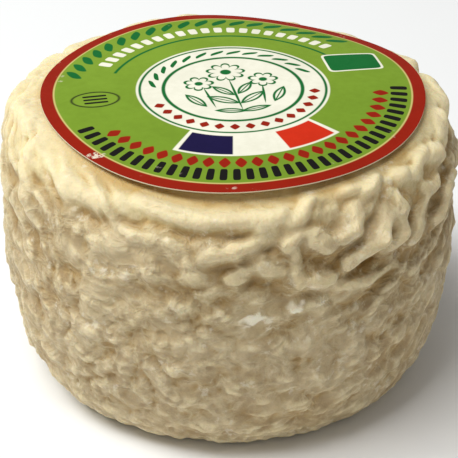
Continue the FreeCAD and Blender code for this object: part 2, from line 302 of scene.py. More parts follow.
# %% Rays from a ring inside the cheese
ROUND = 640
ROWS = 150
RING_SHARE = 0.36           # of the cheese's radius
ring_radius = RING_SHARE * (cheese_high.x - cheese_low.x) / 2
ring_height = cheese_high.z / 2
turns = np.linspace(-math.pi, math.pi, ROUND, endpoint=False)
skin = BVHTree.FromObject(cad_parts["cheese"], bpy.context.evaluated_depsgraph_get())


def skin_distance(turn, lift):
    """How far the skin lies from the ring, one way round and one way up."""
    outward = Vector((math.cos(turn), math.sin(turn), 0))
    ray = outward * math.cos(lift) + Vector((0, 0, math.sin(lift)))
    start = outward * ring_radius + Vector((0, 0, ring_height))
    return skin.ray_cast(start, ray)[3]


FULL_SWEEP = np.linspace(-math.pi / 2, math.pi / 2, 361)
mean_distance = np.array([np.mean([skin_distance(turn, lift) for turn in turns[::40]])
                          for lift in FULL_SWEEP])
outline_reach = ring_radius + mean_distance * np.cos(FULL_SWEEP)
outline_height = ring_height + mean_distance * np.sin(FULL_SWEEP)
outline_step = np.hypot(np.diff(outline_reach), np.diff(outline_height))
outline_travel = np.concatenate([[0], np.cumsum(outline_step)])
print("outline is", round(outline_travel[-1] / MM, 1), "mm long")

# %% [markdown]
# Rows are spent where they show: few under the label and under the foot, many on the side
# and the rim. The rays are then sent for every row and column of the grid.

# %% Spread the rows and send the rays
HIDDEN_PRICE = 0.15
hidden = ((outline_height < 0.3 * MM)
          | ((outline_reach < label_radius - 2 * MM) & (outline_height > ring_height)))
price = outline_step * np.where(hidden[1:], HIDDEN_PRICE, 1.0)
row_price = np.concatenate([[0], np.cumsum(price)])
row_shares = np.linspace(0, row_price[-1], ROWS)
lifts = np.interp(row_shares, row_price, FULL_SWEEP)
travel = np.interp(lifts, FULL_SWEEP, outline_travel)
distance = np.array([[skin_distance(turn, lift) for turn in turns] for lift in lifts])
print("rows", ROWS, "columns", ROUND, "nearest and farthest skin",
      round(distance.min() / MM, 1), round(distance.max() / MM, 1), "mm")

# %% [markdown]
# ## Wrinkles that grow like a real rind
#
# A drying rind buckles: it is too large for what is under it, so it folds at a pitch of
# its own, in rolls that wander, fork and stop. Noise textures make bumps, not rolls. The
# Swift-Hohenberg equation makes rolls. It starts from random specks and lets one pitch
# grow and every other fade. Each step is done on the waves of the whole field at once,
# with a Fourier transform, which also makes the field close up round the drum.

# %% Grow fields of rolls
BELLY_LENGTH = math.pi * (cheese_high.x - cheese_low.x)
FIELD_HEIGHT = 1.15 * outline_travel[-1]


def grown_rolls(pitch, lean, seed, steps=60, eagerness=0.75):
    """A field of rolls of one pitch. Lean is how much they rather run round the drum."""
    across = 32 * round(BELLY_LENGTH / (pitch / 6) / 32)
    up = 32 * round(FIELD_HEIGHT / (pitch / 6) / 32)
    waves_across = np.fft.rfftfreq(across, BELLY_LENGTH / across)[None, :] * pitch
    waves_up = np.fft.fftfreq(up, FIELD_HEIGHT / up)[:, None] * pitch
    growth = (eagerness - (1 - waves_across ** 2 - waves_up ** 2) ** 2
              - lean * waves_across ** 2)
    field = np.random.default_rng(seed).normal(0, 0.1, (up, across))
    pace = 0.5
    for _ in range(steps):
        pushed = np.fft.rfft2(field - pace * field ** 3)
        field = np.fft.irfft2(pushed / (1 - pace * growth), s=(up, across))
    return field / np.abs(field).max()


coarse_rolls = grown_rolls(3.6 * MM, 0.05, seed=3)
middle_rolls = grown_rolls(2.3 * MM, 0.05, seed=5)
fine_rolls = grown_rolls(1.3 * MM, 0.15, seed=8)
rim_pleats = grown_rolls(2.4 * MM, 0.50, seed=12)
print("fields", coarse_rolls.shape, middle_rolls.shape, fine_rolls.shape)

# %% [markdown]
# ## Slow hills
#
# Nothing on a rind is even, so slow random hills of several sizes will bend and fade the
# rolls. They are blurred specks, made with the same Fourier transform. A field has fewer
# points than the grid asks for, so a reader finds the value between its points.

# %% Make hills and read fields
def slow_noise(size, seed):
    """Smooth random hills of one size, about -1 to 1."""
    across, up = int(BELLY_LENGTH / (size / 4)), int(FIELD_HEIGHT / (size / 4))
    waves = np.hypot(np.fft.fftfreq(up, 0.25)[:, None], np.fft.fftfreq(across, 0.25)[None, :])
    specks = np.fft.fft2(np.random.default_rng(seed).normal(0, 1, (up, across)))
    hills = np.fft.ifft2(specks * np.exp(-(waves * 1.6) ** 2)).real
    return hills / np.abs(hills).max()


def read_field(field, share_round, share_up):
    """Read a field between its points; it repeats past its edges."""
    up, across = field.shape
    x = (share_round % 1) * across
    y = (share_up % 1) * up
    left, low = np.floor(x).astype(int), np.floor(y).astype(int)
    x_part, y_part = x - left, y - low
    left, low = left % across, low % up
    right, high = (left + 1) % across, (low + 1) % up
    below = field[low, left] * (1 - x_part) + field[low, right] * x_part
    above = field[high, left] * (1 - x_part) + field[high, right] * x_part
    return below * (1 - y_part) + above * y_part


share_round = np.broadcast_to((turns[None, :] + math.pi) / (2 * math.pi), distance.shape)
share_up = np.broadcast_to((travel / FIELD_HEIGHT)[:, None], distance.shape)


def hills(size, seed):
    """Slow noise read at every point of the grid."""
    return read_field(slow_noise(size, seed), share_round, share_up)


bend_round = (2.4 * hills(10 * MM, 21) + 1.0 * hills(4 * MM, 31)) * MM / BELLY_LENGTH
bend_up = (2.4 * hills(10 * MM, 22) + 1.0 * hills(4 * MM, 32)) * MM / FIELD_HEIGHT
patches = hills(11 * MM, 23)
small_patches = hills(5 * MM, 24)
tiny_patches = hills(2.6 * MM, 25)
crumbs = hills(0.9 * MM, 26)
print("patches from", round(patches.min(), 2), "to", round(patches.max(), 2))

# %% [markdown]
# ## Places on the skin
#
# Later cells ask the same things of every point of the grid: how far it is below the rim,
# how far from the paper, and how far round from some angle. Blurring and smooth steps are
# written once here too.

# %% Measure places on the skin
def blurred(values, width):
    """Soften a grid by a width, round the drum and up it."""
    rows, columns = values.shape
    padded = np.concatenate([values, values[::-1]])
    across = np.fft.fftfreq(columns, BELLY_LENGTH / columns)[None, :]
    row_gap = np.median(np.diff(travel))
    upward = np.fft.fftfreq(2 * rows, row_gap)[:, None]
    keep = np.exp(-2 * (math.pi * width) ** 2 * (across ** 2 + upward ** 2))
    return np.fft.ifft2(np.fft.fft2(padded) * keep).real[:rows]


def rise(value, start, end):
    """Smoothly from 0 at start to 1 at end."""
    share = np.clip((value - start) / (end - start), 0, 1)
    return share * share * (3 - 2 * share)


def turned_from(degrees):
    """How far round each column lies from an angle, either way, in radians."""
    return (turns - math.radians(degrees) + math.pi) % (2 * math.pi) - math.pi


def skin_place(distances):
    """Distance from the axis and height above the foot."""
    return (ring_radius + distances * np.cos(lifts)[:, None],
            ring_height + distances * np.sin(lifts)[:, None])


reach, height = skin_place(distance)
depth = cheese_high.z - height
skin_x = reach * np.cos(turns)[None, :]
skin_y = reach * np.sin(turns)[None, :]
off_label = np.hypot(skin_x - label_middle.x, skin_y - label_middle.y) - label_radius
print("skin reaches", round(reach.max() / MM, 1), "mm from the axis")

# %% [markdown]
# ## The main folds
#
# Where the rind had most to spare it laid itself in thick rolls, round as a cord, with a
# crease on both sides that takes painted shade. The solid carries them as soft swellings.
# Here each gets its round back and its crease, along the same route. A route has a start
# and an end, in degrees round the cheese and in millimetres below the rim, and may bow
# in the middle.

# %% Routes of the main folds
RIM_HEIGHT = 42.3 * MM
# Start degrees and depth, end degrees and depth, width, lift, bow.
FOLDS = [
    (-114, 1.0, -76, 2.3, 3.4, 1.35, 0.5), (-84, 1.0, -73, 1.5, 2.2, 0.70, 0.1),
    (-68, 1.0, -76, 6.3, 2.8, 1.15, 0.3), (-95, 7.4, -88, 6.7, 2.4, 0.65, 0.1),
    (-88, 6.3, -79, 4.8, 2.6, 1.00, -0.2), (-68, 0.8, -57, 0.8, 2.8, 0.90, -0.3),
    (-57, 1.2, -47, 1.2, 2.8, 1.10, 0.8), (-61, 10.4, -52, 8.4, 3.0, 1.45, 0.2),
    (-52, 8.4, -48, 5.2, 2.4, 0.85, 0.0), (-50, 10.1, -44, 9.1, 2.7, 1.25, 0.3),
    (-44, 9.1, -46, 6.8, 2.4, 0.95, 0.0), (-44, 4.0, -43, 6.8, 2.6, 0.95, 0.2),
    (-34, 7.6, -41, 11.2, 2.6, 0.95, 0.3), (-17, 8.0, -28, 11.4, 2.8, 0.95, 0.4),
    (-40, 2.2, -33, 3.4, 2.8, 0.85, 0.3), (-30, 2.0, -21, 3.8, 3.0, 0.90, -0.4),
    (-34, 5.6, -26, 6.6, 2.6, 0.70, 0.2), (-89, 10.1, -86, 9.8, 2.6, 0.75, 0.1),
    (-100, 10.8, -97, 10.5, 2.4, 0.50, 0.1), (-82, 9.2, -78, 9.9, 3.0, 0.60, 0.2),
    (-74, 8.4, -73, 11.8, 2.6, 0.75, 0.3), (-69, 6.0, -67, 7.2, 3.2, 1.00, 0.1),
    (-69, 12.2, -66, 12.0, 3.0, 0.85, 0.1), (-62, 6.6, -58, 6.0, 2.8, 0.75, 0.1),
    (-57, 3.2, -58, 5.4, 2.4, 0.55, 0.1), (-64, 13.6, -46, 14.0, 2.0, 0.40, 0.3),
    (-154, 1.6, -148, 6.6, 3.0, 1.00, 0.3), (-176, 1.4, -160, 1.2, 3.0, 0.90, -0.4),
    (-178, 4.6, -168, 7.2, 2.8, 0.75, 0.4), (168, 2.2, 178, 3.0, 3.2, 0.85, 0.3),
    (150, 1.8, 161, 2.6, 3.4, 0.85, 0.3), (133, 2.4, 143, 1.6, 3.2, 0.80, 0.4),
    (112, 2.2, 126, 3.2, 3.4, 0.95, 0.4), (92, 3.4, 104, 1.6, 3.0, 0.80, 0.3),
    (70, 1.8, 84, 3.4, 3.4, 1.00, 0.6), (48, 3.0, 62, 1.6, 3.2, 0.90, -0.4),
    (26, 1.8, 39, 3.4, 3.2, 0.95, 0.5), (2, 2.8, 15, 1.4, 3.0, 0.85, 0.4),
    (-8, 8.0, 4, 9.4, 3.0, 0.85, 0.4), (16, 6.2, 24, 8.4, 2.8, 0.75, 0.3),
    (34, 9.2, 46, 7.6, 3.0, 0.85, -0.4), (54, 6.0, 60, 9.0, 2.8, 0.75, 0.3),
    (78, 9.4, 92, 8.2, 3.2, 0.85, 0.5), (98, 6.4, 108, 8.0, 3.0, 0.80, 0.4),
    (120, 8.4, 131, 10.2, 3.0, 0.80, 0.4), (142, 6.0, 152, 7.6, 2.8, 0.75, 0.4)]
print(len(FOLDS), "folds")

# %% [markdown]
# A fold is drawn by how far each point of the skin lies from its route. Near the middle
# the back rises like part of a circle, and just past its edge the crease sinks. Sculpting
# by hand would do as well, but a rule keeps every fold of one family.

# %% Lay the main folds
ROUND_BACK = 0.34
BACK_FULLNESS = 0.8         # 0.5 is half round; more is a softer back
CREASE_DEPTH = 0.26
CREASE_PLACE, CREASE_HALF_WIDTH = 1.25, 0.32
ROUTE_WANDER = 0.25
swelling = 1 + 0.45 * small_patches + 0.40 * tiny_patches


def skin_travel(depth_mm):
    return np.interp(RIM_HEIGHT - depth_mm * MM, outline_height, outline_travel)


def fold_distance(start, start_depth, end, end_depth, bow):
    """How far every point of the grid lies from a fold's middle line."""
    run_side = BELLY_LENGTH * (end - start) / 360
    run_up = skin_travel(end_depth) - skin_travel(start_depth)
    length = math.hypot(run_side, run_up)
    side = (turned_from(start)[None, :] * BELLY_LENGTH / (2 * math.pi)
            + ROUTE_WANDER * bend_round * BELLY_LENGTH)
    up = travel[:, None] - skin_travel(start_depth) + ROUTE_WANDER * bend_up * FIELD_HEIGHT
    run = np.clip((side * run_side + up * run_up) / length ** 2, 0, 1)
    sag = bow * MM * 4 * run * (1 - run)
    return np.hypot(side - run * run_side - sag * run_up / length,
                    up - run * run_up + sag * run_side / length)


fold_back = np.zeros_like(distance)
fold_rise = np.zeros_like(distance)
fold_crease = np.zeros_like(distance)
for start, start_depth, end, end_depth, width, lift, bow in FOLDS:
    middle_distance = fold_distance(start, start_depth, end, end_depth, bow)
    share = middle_distance / (0.5 * width * MM * swelling)
    back = np.clip(1 - share ** 2, 0, 1) ** BACK_FULLNESS
    crease_here = np.exp(-((share - CREASE_PLACE) / CREASE_HALF_WIDTH) ** 2)
    fold_back = np.maximum(fold_back, back)
    fold_rise = np.maximum(fold_rise, min(lift, 1.2) * (0.8 * back + 0.2 * np.exp(-share ** 2)))
    fold_crease = np.maximum(fold_crease, min(lift, 1.0) * crease_here)
fold_crease *= 1 - fold_back
# The folds are sharpest where the rind was gathered, at the right of the front.
GATHERED_AT = math.radians(-62)
fold_share = 0.40 + 0.60 * rise(np.cos(turns - GATHERED_AT), 0.0, 0.75)[None, :]
print("folds cover", round(100 * float((fold_back > 0).mean()), 1), "% of the grid")

# %% [markdown]
# ## Which wrinkles go where
#
# The rind isn't the same all over. The rim is plump and smooth, below it comes a belt of
# chunky rolls, and from the middle down the skin is finely crinkled and drier. Each size
# of roll gets a strength for every point of the grid. Slow noise bends the rolls and
# varies the strengths, so that no belt looks ruled.

# %% Strength of each size of wrinkle
FRONT_RIGHT = math.radians(-35)
below_rim = rise(depth, 2.5 * MM, 6 * MM)
low_side = rise(depth, 15 * MM, 24 * MM)
near_foot = 1 - rise(height, 0.0, 4 * MM)
left_side = np.broadcast_to(rise(-np.cos(turns), -0.15, 0.6)[None, :], depth.shape)
front_right = rise(np.cos(turns - FRONT_RIGHT), 0.1, 0.85)[None, :]

coarse_strength = (0.38 * below_rim * (1 - low_side) * (1 - 0.8 * left_side)
                   * (1 + 0.8 * patches))
middle_strength = (0.44 * below_rim * (1 - 0.15 * low_side) * (1 - 0.4 * left_side)
                   * rise(small_patches, -0.5, 0.6))
fine_strength = (0.12 + 0.16 * rise(depth, 6 * MM, 14 * MM)) * rise(tiny_patches, -0.45, 0.5)
crumb_strength = 0.06 + 0.26 * rise(depth, 4 * MM, 12 * MM) * rise(-small_patches, -0.4, 0.5)
puff_strength = below_rim * (0.48 + 0.18 * left_side + 0.12 * low_side)
pleat_strength = (1.1 * (1 - rise(depth, 5 * MM, 9 * MM)) * (0.35 + 0.65 * left_side)
                  * rise(small_patches, -0.5, 0.2))
print("coarse rolls up to", round(coarse_strength.max(), 2), "mm")

# %% [markdown]
# The sizes are then added up. Between the rolls the skin is puffy, so round puffs join
# them: the root of slow noise gives a full cushion with a narrow crease. Last, the relief
# dies away under the paper and at the foot, where the cheese lies flat on something.

# %% Add up the relief
FOLD_CRISPNESS = 0.7
SWEEP = 20 * MM
sweep = SWEEP / FIELD_HEIGHT * np.sin(turns)[None, :]


def round_tops(rolls, fullness=0.75):
    """Full round tops with narrower creases between them."""
    return np.clip(0.5 + rolls / 2, 0, 1) ** fullness - 0.58


def read_rolls(rolls):
    return round_tops(read_field(rolls, share_round + bend_round,
                                 share_up + bend_up - sweep))


def puffs(size, seed):
    """Round puffs with a narrow crease wherever the slow noise crosses zero."""
    bent = read_field(slow_noise(size, seed), share_round + bend_round, share_up + bend_up)
    return np.sqrt(np.abs(bent) + 0.004) - 0.45


relief = (coarse_strength * read_rolls(coarse_rolls)
          + middle_strength * read_rolls(middle_rolls)
          + fine_strength * read_rolls(fine_rolls)
          + crumb_strength * crumbs
          + pleat_strength * read_rolls(rim_pleats)
          + puff_strength * (1.3 * puffs(4.0 * MM, 41) + 0.7 * puffs(2.0 * MM, 42))
          + (0.25 * patches + 0.30 * small_patches + 0.12 * tiny_patches) * below_rim) * MM
relief += (FOLD_CRISPNESS * (distance - blurred(distance, 2.0 * MM))
           * (1 - low_side) * (1 - 0.8 * left_side))
relief *= 1 - 0.30 * fold_back
relief += (ROUND_BACK * fold_rise - CREASE_DEPTH * fold_crease) * fold_share * MM
relief *= 1 - 0.35 * near_foot
relief *= np.where(height > ring_height, rise(off_label, 0.2 * MM, 2.4 * MM), 1.0)
relief *= rise(height, 0.0, 0.8 * MM)
surface = distance + relief
print("relief from", round(relief.min() / MM, 2), "to", round(relief.max() / MM, 2), "mm")

# %% [markdown]
# ## Painted shade in the creases, painted highlight on the crests
#
# The creases get a painted ochre shade and the crests a painted cream highlight. Ambient
# occlusion could find creases at render time, but it is slow. The grid knows more: a point
# is in a hollow if it lies nearer to the ring than its blurred surroundings. That number is
# kept on the mesh as an attribute.

# %% Measure hollows
broad_hollow = (blurred(surface, 2.2 * MM) - surface) / (0.55 * MM)
fine_hollow = (blurred(surface, 0.7 * MM) - surface) / (0.16 * MM)
hollow = np.clip(0.60 * broad_hollow + 0.5 * fine_hollow
                 + 0.6 * fold_crease * fold_share, -1.5, 1.5)
rim_zone = 1 - rise(depth + 1.5 * MM * patches, 2.0 * MM, 8.0 * MM)
dry_zone = np.clip(low_side * 0.8 + 0.45 * small_patches, 0, 1)
print("hollow spread", round(float(hollow.std()), 2))

# %% [markdown]
# Painted shade darkens the rind under the paper's edge, most in a few pockets along it.
# Each pocket fades away to both sides and outward.

# %% Painted shade in pockets under the paper's edge
# Degrees round, width in degrees, reach in mm, share.
POCKETS = [(-124, 40, 3.0, 0.8), (-60, 15, 2.6, 1.0), (-35, 13, 2.4, 1.0), (40, 20, 1.8, 0.7),
           (120, 24, 1.8, 0.7), (176, 30, 1.6, 0.5)]
on_top = height > ring_height
# Painted shade all along the paper's edge, then deeper in the pockets.
paper_edge_shade = 0.25 * (1 - rise(off_label, 0.1 * MM, 1.0 * MM)) * on_top
for degrees, width, pocket_reach, strength in POCKETS:
    aside = turned_from(degrees) / math.radians(0.5 * width)
    share = strength * np.exp(-aside ** 2)[None, :]
    paper_edge_shade = paper_edge_shade + share * (1 - rise(off_label, 0.3 * MM, pocket_reach * MM)) * on_top
paper_edge_shade = np.clip(paper_edge_shade, 0, 1)
print("painted paper edge shade share", round(float(paper_edge_shade.mean()), 3))

# %% [markdown]
# Where bloom has dried it lifts in pale flakes. A white speckle all over would look like
# flour, so each flake has a place and a size, and slow noise frays its edge.

# %% Dried flakes
# Degrees round (-90 is the front), depth, width, height in mm, share.
DRIED_SPOTS = [(-86, 18.2, 4.2, 2.0, 1.0), (-80, 17.8, 3.8, 1.8, 0.8),
               (-75, 16.4, 4.6, 2.4, 1.0), (-69, 15.9, 3.2, 1.6, 0.5),
               (-92, 19.4, 3.4, 1.2, 0.6), (-79, 19.7, 4.0, 1.4, 0.5),
               (-98, 14.2, 1.8, 1.5, 0.4), (-116, 13.0, 5.0, 1.5, 0.35),
               (-54, 13.2, 5.0, 1.3, 0.35), (-131, 9.8, 4.0, 1.8, 0.3),
               (28, 13.8, 4.0, 1.5, 0.6), (76, 15.8, 5.0, 1.5, 0.7),
               (131, 12.8, 4.0, 1.7, 0.6)]
dried_spots = np.zeros_like(depth)
frayed_edge = 1 + 0.9 * tiny_patches + 1.2 * crumbs
for degrees, spot_depth, width, tall, strength in DRIED_SPOTS:
    aside = (turned_from(degrees)[None, :] * BELLY_LENGTH / (2 * math.pi)
             / (0.5 * width * MM))
    upward = (depth - spot_depth * MM) / (0.5 * tall * MM)
    dried_spots += strength * rise(frayed_edge - np.hypot(aside, upward), -0.2, 1.0)
print(len(DRIED_SPOTS), "flakes")

# %% [markdown]
# ## Build the rind
#
# The grid of distances is turned back into points, closed at the foot and under the label
# by two fans, and given smooth shading. The attributes go along, one number a point.

# %% Rind mesh
def ring_mesh(name, points, closing_low, closing_high):
    """A closed mesh from rows of points that go round, with a fan at each end."""
    rows, columns = points.shape[:2]
    places = np.concatenate([points.reshape(-1, 3), [closing_low, closing_high]])
    index = np.arange(rows * columns).reshape(rows, columns)
    beside = np.roll(index, -1, axis=1)
    walls = np.stack([index[:-1], beside[:-1], beside[1:], index[1:]], -1).reshape(-1, 4)
    low_point, high_point = rows * columns, rows * columns + 1
    faces = walls.tolist()
    faces += [(low_point, beside[0, side], index[0, side]) for side in range(columns)]
    faces += [(high_point, index[-1, side], beside[-1, side]) for side in range(columns)]
    mesh = bpy.data.meshes.new(name)
    mesh.from_pydata(places.tolist(), [], faces)
    mesh.shade_smooth()
    return mesh


def keep_on_mesh(mesh, name, values):
    """Store one number for each point; the two closing points get the mean."""
    layer = mesh.attributes.new(name, "FLOAT", "POINT")
    flat = np.concatenate([values.ravel(), [values[0].mean(), values[-1].mean()]])
    layer.data.foreach_set("value", flat.astype(np.float32))


rind_reach, rind_height = skin_place(surface)
rind_points = np.stack([rind_reach * np.cos(turns), rind_reach * np.sin(turns), rind_height],
                       -1)
rind_mesh = ring_mesh("rind", rind_points, (0, 0, float(rind_height[0].mean())),
                      (0, 0, float(rind_height[-1].mean())))
notes = {"hollow": hollow, "rim_zone": rim_zone, "dry_zone": dry_zone, "patches": patches,
         "dried_spots": dried_spots, "paper_edge_shade": paper_edge_shade, "clouds": small_patches,
         "fold_back": fold_back * fold_share,
         # belt: where painted shade darkens the rind, most at the right of the front.
         "belt": below_rim * (1 - low_side) * (1 + 0.8 * front_right)}
for name, values in notes.items():
    keep_on_mesh(rind_mesh, name, values)
rind = placed("rind", rind_mesh)
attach(rind, "root")
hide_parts("cheese")
print("rind has", len(rind_mesh.polygons), "faces")

# %% [markdown]
# ## Two effects that rind and paper share
#
# Nothing that has lain in a cellar has one even colour. The first group gives a soft
# mottle at two sizes, from two cloudy textures added up. It is built once and used with
# its own numbers in each material.

# %% Group: mottle
wiring, given, wanted = new_group("mottle", {"Place": (0.0, 0.0, 0.0), "Size": 100.0},
                                  ["Mottle"])
broad = wiring.noise(given["Place"], given["Size"], 3.0)
close = wiring.noise(given["Place"], given["Size"] * 5.3, 4.0, 0.65)
wiring.feed(wanted["Mottle"], wiring.ramp(broad * 0.6 + close * 0.4, 0.36, 0.64))
mottle_group = wiring.tree
print("group", mottle_group.name)

# %% [markdown]
# The second group scatters small specks: dried crumbs of bloom on the rind, and scuffs on
# the paper. Voronoi cells give the spots, slow noise picks some, fine noise frays them.

# %% Group: specks
wiring, given, wanted = new_group(
    "specks", {"Place": (0.0, 0.0, 0.0), "Size": 400.0, "Share": 0.2}, ["Specks"])
cells = wiring.add("ShaderNodeTexVoronoi", {"Vector": given["Place"], "Scale": given["Size"]})
chosen = wiring.noise(given["Place"], given["Size"] * 0.35, 2.0)
ragged = wiring.noise(given["Place"], given["Size"] * 2.2, 3.0, 0.7)
frayed = cells.outputs["Distance"] + (ragged - 0.5) * 1.6
near_centre = wiring.ramp(frayed, 0.10, 0.45, 1.0, 0.0)
limit = 0.72 - given["Share"] * 0.4
wiring.feed(wanted["Specks"], near_centre * wiring.ramp(chosen, limit, limit + 0.06))
specks_group = wiring.tree
print("group", specks_group.name)

# %% [markdown]
# ## The rind's finish
#
# A bloomy rind is matt and slightly see-through: light sinks in and comes out warmer. The
# colour is layered as it forms. First comes the paste, then the dry greyer skin lower
# down, the buttery rim, and painted shade on the belt below it, most at the front right.

# %% Rind colour: from the rim to the foot
PASTE, PALE_PASTE = paint(188, 165, 121), paint(208, 189, 147)
DRY_SKIN, EARTHY, BUTTER = paint(189, 169, 133), paint(184, 158, 114), paint(238, 223, 172)
PAINTED_BELT_SHADE = (0.76, 0.72, 0.66, 1)

rind_material, wiring, shader = new_material("bloomy_rind")
place = wiring.add("ShaderNodeTexCoord").outputs["Object"]
rim_here = wiring.attribute("rim_zone")
near_rim = rim_here * 0.85
mottle = wiring.group(mottle_group, Place=place, Size=130.0)
skin_coat = Coat(wiring, wiring.blend(mottle, PASTE, PALE_PASTE))
skin_coat.lay(wiring.attribute("dry_zone"), DRY_SKIN)
skin_coat.lay(wiring.ramp(wiring.attribute("patches"), 0.0, 0.5, 0.0, 0.6), EARTHY)
skin_coat.lay(near_rim, BUTTER)
# Painted shade: the belt below the rim is darkened, most at the right of the front.
skin_coat.lay(wiring.attribute("belt") * 0.5, PAINTED_BELT_SHADE, "MULTIPLY")
print("layers", skin_coat.layers)

# %% [markdown]
# Next the painted shade of the creases, an ochre that is paler at the rim than lower down,
# with a deeper tone in the deepest of them, and a painted cream highlight on the crests.

# %% Rind colour: painted shade in creases, painted highlight on crests
PAINTED_CREASE_SHADE, PAINTED_RIM_CREASE_SHADE = paint(178, 147, 90), paint(214, 182, 120)
PAINTED_DEEP_CREASE_SHADE, PAINTED_RIM_DEEP_CREASE_SHADE = paint(158, 121, 60), paint(194, 156, 88)
PAINTED_CREST_HIGHLIGHT = paint(236, 221, 180)

hollow_here = wiring.attribute("hollow")
crease = wiring.ramp(hollow_here, 0.05, 1.1)
deep_crease = wiring.ramp(hollow_here, 0.6, 1.5)
# Painted shade in the creases and a painted highlight on the crests, both from the hollow
# attribute.
skin_coat.lay(crease * 0.70, wiring.blend(near_rim, PAINTED_CREASE_SHADE, PAINTED_RIM_CREASE_SHADE))
skin_coat.lay(deep_crease * 0.45, wiring.blend(near_rim, PAINTED_DEEP_CREASE_SHADE, PAINTED_RIM_DEEP_CREASE_SHADE))
skin_coat.lay(wiring.ramp(hollow_here, -0.05, -1.0) * 0.70, PAINTED_CREST_HIGHLIGHT)
print("layers", skin_coat.layers)

# %% [markdown]
# Finer than any mesh are the hairlines of the dried skin, like crepe paper. A ridged
# texture draws them, with a painted highlight line on each ridge and painted shade
# between. They are weaker at the rim, where the skin is moist and smooth.

# %% Rind colour: crepe lines, painted highlight and shade
PAINTED_RIDGE_HIGHLIGHT, PAINTED_RIDGE_GAP_SHADE = paint(236, 222, 184), paint(166, 143, 104)
THREAD_SHADE = (0.80, 0.775, 0.75, 1)

off_rim = 1.0 - rim_here * 0.55
flattened = wiring.add("ShaderNodeVectorMath", operation="MULTIPLY")
wiring.feed(flattened.inputs[0], place)
flattened.inputs[1].default_value = (1.0, 1.0, 1.25)
crepe = wiring.flow(wiring.add(
    "ShaderNodeTexNoise", {"Vector": flattened.outputs[0], "Scale": 300.0, "Detail": 3.0,
                           "Roughness": 0.62, "Lacunarity": 2.1, "Offset": 1.0, "Gain": 1.6,
                           "Distortion": 0.45}, noise_type="RIDGED_MULTIFRACTAL"))
fold_line = wiring.ramp(crepe, 1.0, 2.2) * off_rim
# Painted highlight on each ridge line, and painted shade between the ridges.
skin_coat.lay(fold_line * 0.42, PAINTED_RIDGE_HIGHLIGHT)
skin_coat.lay(wiring.ramp(crepe, 0.9, 0.3) * off_rim * 0.42, PAINTED_RIDGE_GAP_SHADE)
threads = wiring.group(mottle_group, Place=place, Size=620.0)
skin_coat.lay(threads * off_rim, THREAD_SHADE, "MULTIPLY")
print("layers", skin_coat.layers)

# %% [markdown]
# On top lie the things that came last: pale clouds of mould, painted shade under the
# paper's edge, the cream on the backs of the folds, the dried flakes and a few crumbs of bloom.

# %% Rind colour: clouds, painted shade by the paper, flakes and bloom
CLOUD, PAINTED_PAPER_EDGE_SHADE, FOLD_CREAM = paint(224, 207, 168), paint(186, 146, 74), paint(230, 213, 168)
FLAKE, BLOOM = paint(247, 239, 214), paint(243, 236, 214)

skin_coat.lay(wiring.ramp(wiring.attribute("clouds"), -0.1, 0.6) * off_rim * 0.45, CLOUD)
# Painted shade under the paper's edge.
skin_coat.lay(wiring.attribute("paper_edge_shade") * 0.75, PAINTED_PAPER_EDGE_SHADE)
skin_coat.lay(wiring.ramp(wiring.attribute("fold_back"), 0.2, 1.0, 0.0, 0.30), FOLD_CREAM)
dried_here = wiring.attribute("dried_spots")
curled = wiring.ramp(dried_here + fold_line * 0.6, 0.35, 1.25, 0.0, 0.95)
skin_coat.lay(curled * wiring.ramp(dried_here, 0.02, 0.3), FLAKE)
bloom = wiring.group(specks_group, Place=place, Size=620.0, Share=0.45)
skin_coat.lay(bloom * 0.35, BLOOM)
wiring.feed(shader.inputs["Base Color"], skin_coat.colour)
print("layers", skin_coat.layers)

# %% [markdown]
# A little subsurface light softens the rind, the creases are damper and shine a little
# more, and a fine bump stands for the felt of mould that is too small to model.

# %% Rind sheen, bump and depth of light
wiring.feed(shader.inputs["Roughness"], 0.66 - crease * 0.16)
felt = wiring.noise(place, 1500.0, 4.0, 0.7, 0.6)
wisps = wiring.noise(place, 520.0, 3.0, 0.6, 1.2)
skin_height = felt * 0.30 + wisps * 0.5 + crepe * (off_rim * 0.55)
bump = wiring.add("ShaderNodeBump", {"Height": skin_height, "Strength": 0.75,
                                     "Distance": 0.38 * MM})
wiring.feed(shader.inputs["Normal"], bump.outputs[0])
for name, value in {"Subsurface Weight": 0.30, "Subsurface Radius": (1.0, 0.62, 0.30),
                    "Subsurface Scale": 2.0 * MM, "Specular IOR Level": 0.32}.items():
    shader.inputs[name].default_value = value
rind_mesh.materials.append(rind_material)
print("rind material has", len(rind_material.node_tree.nodes), "nodes")

# %% [markdown]
# ## The paper label
#
# The label is one disc of coated paper, cut clean, that has taken the shape of what lies
# under it. It could be a plain disc with a cloth simulation, but the CAD already knows
# how the paper lies, so rays from above read its height. The piece is closed: a printed
# face, a pale cut edge and an underside.

# %% Label mesh
LABEL_RINGS = 56
LABEL_SIDES = 288
PAPER = 0.16 * MM
JUST_INSIDE = 0.999         # so that every ray meets the paper
PRINT_TURN = math.radians(12)
paper_top = BVHTree.FromObject(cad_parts["label"],
                               bpy.context.evaluated_depsgraph_get())


def paper_height(x, y):
    """Height of the label's upper face, read by a ray from above."""
    hit = paper_top.ray_cast(Vector((x, y, 2 * label_high.z)), Vector((0, 0, -1)))[0]
    return hit.z


